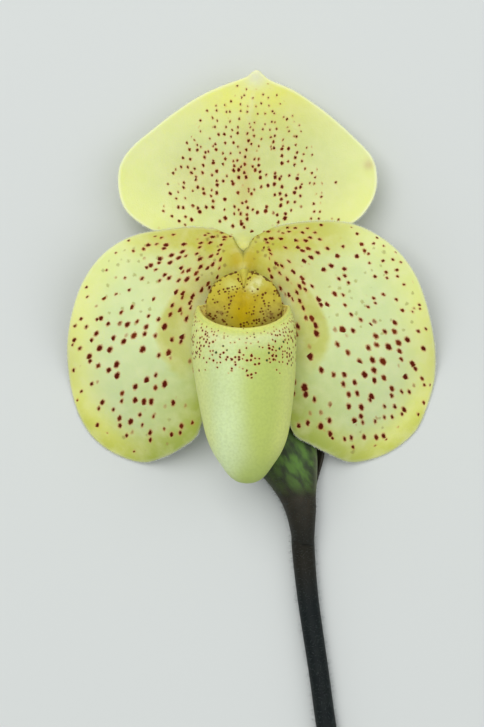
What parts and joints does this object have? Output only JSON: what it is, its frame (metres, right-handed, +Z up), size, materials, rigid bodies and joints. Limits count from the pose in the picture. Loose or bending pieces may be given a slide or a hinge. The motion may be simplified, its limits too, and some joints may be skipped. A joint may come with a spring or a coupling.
{
  "type": "slipper orchid bloom",
  "caption": "Cut slipper orchid bloom lying on its back: hooded sepal, two broad spotted petals, hollow pouch, golden shield, bract and dark hairy stalk.",
  "frame": {"origin": "middle of the bloom's footprint on the surface it lies on", "axes": "+Z up, out of the face of the bloom; +Y towards the tip of the dorsal sepal, with the stalk running to -Y; +X to the right of someone who looks down on the bloom"},
  "size_m": [0.075, 0.1569, 0.029],
  "materials": {
    "tepal": "soft, finely velvety petal tissue, pale yellow with maroon spots",
    "pouch": "waxy pale yellow-green, with fine maroon dots under the rim",
    "shield": "waxy gold with brown dots",
    "column": "waxy yellow",
    "pollen": "sticky, granular",
    "ovary": "green-brown, ribbed and hairy",
    "bract": "mottled green leaf, hairy",
    "scape": "dark purple-brown, densely hairy"
  },
  "bodies": {
    "root": {"dorsal_sepal": "tepal", "synsepal": "tepal", "petal_left": "tepal", "petal_right": "tepal", "lip": "pouch", "staminode": "shield", "column": "column", "anther_left": "pollen", "anther_right": "pollen", "ovary": "ovary", "bract": "bract", "scape": "scape"}
  },
  "joints": []
}
